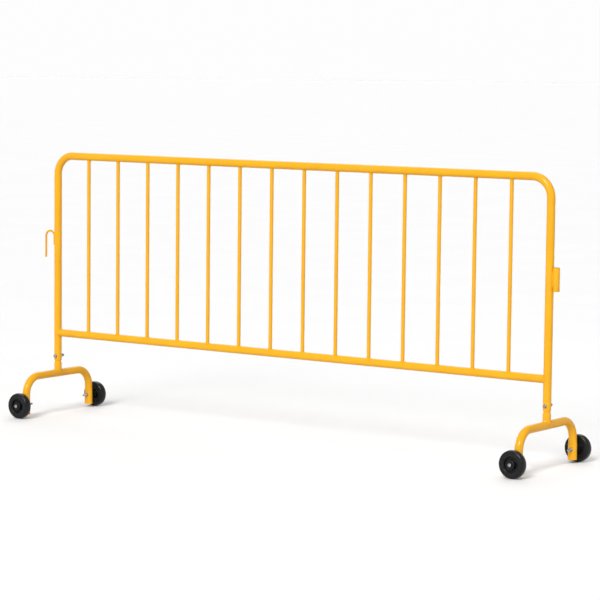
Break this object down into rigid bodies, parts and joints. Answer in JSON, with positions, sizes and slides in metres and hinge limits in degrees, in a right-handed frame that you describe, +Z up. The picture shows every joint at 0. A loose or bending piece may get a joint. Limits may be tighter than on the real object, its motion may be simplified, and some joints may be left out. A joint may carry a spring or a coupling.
{
  "type": "crowd control barrier",
  "caption": "Steel crowd control barrier: bent tube frame with upright pickets, coupling hook and receiver sleeve, two bolted feet on solid wheels.",
  "frame": {"origin": "on the floor under the middle of the overall length", "axes": "+X along the barrier from the hook end to the receiver end, +Y across it towards the rear legs, +Z up"},
  "size_m": [2.5255, 0.5452, 1.118],
  "materials": {
    "yellow_powder_coat": "satin to semi-gloss golden yellow powder coat",
    "black_rubber": "solid black rubber, matt with a faint mould sheen",
    "black_plastic": "moulded black plastic, fine grain",
    "zinc_steel": "bright zinc plated steel"
  },
  "bodies": {
    "barrier": {"frame_tube": "yellow_powder_coat", "bottom_rail": "yellow_powder_coat", "picket_01": "yellow_powder_coat", "picket_02": "yellow_powder_coat", "picket_03": "yellow_powder_coat", "picket_04": "yellow_powder_coat", "picket_05": "yellow_powder_coat", "picket_06": "yellow_powder_coat", "picket_07": "yellow_powder_coat", "picket_08": "yellow_powder_coat", "picket_09": "yellow_powder_coat", "picket_10": "yellow_powder_coat", "picket_11": "yellow_powder_coat", "picket_12": "yellow_powder_coat", "picket_13": "yellow_powder_coat", "picket_14": "yellow_powder_coat", "coupling_hook": "yellow_powder_coat", "hook_receiver": "yellow_powder_coat", "left_foot_tube": "yellow_powder_coat", "left_foot_stub": "yellow_powder_coat", "left_foot_bolt": "zinc_steel", "left_foot_bolt_head_washer": "zinc_steel", "left_foot_bolt_nut_washer": "zinc_steel", "left_foot_bolt_nut": "zinc_steel", "left_foot_bolt_lock_nut": "zinc_steel", "front_left_axle_sleeve": "zinc_steel", "front_left_axle_spacer": "zinc_steel", "front_left_axle_bolt": "zinc_steel", "front_left_axle_washer": "zinc_steel", "front_left_axle_nut": "zinc_steel", "rear_left_axle_sleeve": "zinc_steel", "rear_left_axle_spacer": "zinc_steel", "rear_left_axle_bolt": "zinc_steel", "rear_left_axle_washer": "zinc_steel", "rear_left_axle_nut": "zinc_steel", "right_foot_tube": "yellow_powder_coat", "right_foot_stub": "yellow_powder_coat", "right_foot_bolt": "zinc_steel", "right_foot_bolt_head_washer": "zinc_steel", "right_foot_bolt_nut_washer": "zinc_steel", "right_foot_bolt_nut": "zinc_steel", "right_foot_bolt_lock_nut": "zinc_steel", "front_right_axle_sleeve": "zinc_steel", "front_right_axle_spacer": "zinc_steel", "front_right_axle_bolt": "zinc_steel", "front_right_axle_washer": "zinc_steel", "front_right_axle_nut": "zinc_steel", "rear_right_axle_sleeve": "zinc_steel", "rear_right_axle_spacer": "zinc_steel", "rear_right_axle_bolt": "zinc_steel", "rear_right_axle_washer": "zinc_steel", "rear_right_axle_nut": "zinc_steel"},
    "front_left_wheel": {"front_left_tyre": "black_rubber", "front_left_wheel_core": "black_plastic"},
    "rear_left_wheel": {"rear_left_tyre": "black_rubber", "rear_left_wheel_core": "black_plastic"},
    "front_right_wheel": {"front_right_tyre": "black_rubber", "front_right_wheel_core": "black_plastic"},
    "rear_right_wheel": {"rear_right_tyre": "black_rubber", "rear_right_wheel_core": "black_plastic"}
  },
  "joints": [
    {"name": "front_left_wheel_spin", "type": "hinge", "parent": "barrier", "child": "front_left_wheel", "pos_m": [-1.19125, -0.2484, 0.054], "axis": [0, 1, 0], "continuous": true},
    {"name": "rear_left_wheel_spin", "type": "hinge", "parent": "barrier", "child": "rear_left_wheel", "pos_m": [-1.19125, 0.2484, 0.054], "axis": [0, 1, 0], "continuous": true},
    {"name": "front_right_wheel_spin", "type": "hinge", "parent": "barrier", "child": "front_right_wheel", "pos_m": [1.20875, -0.2484, 0.054], "axis": [0, 1, 0], "continuous": true},
    {"name": "rear_right_wheel_spin", "type": "hinge", "parent": "barrier", "child": "rear_right_wheel", "pos_m": [1.20875, 0.2484, 0.054], "axis": [0, 1, 0], "continuous": true}
  ]
}
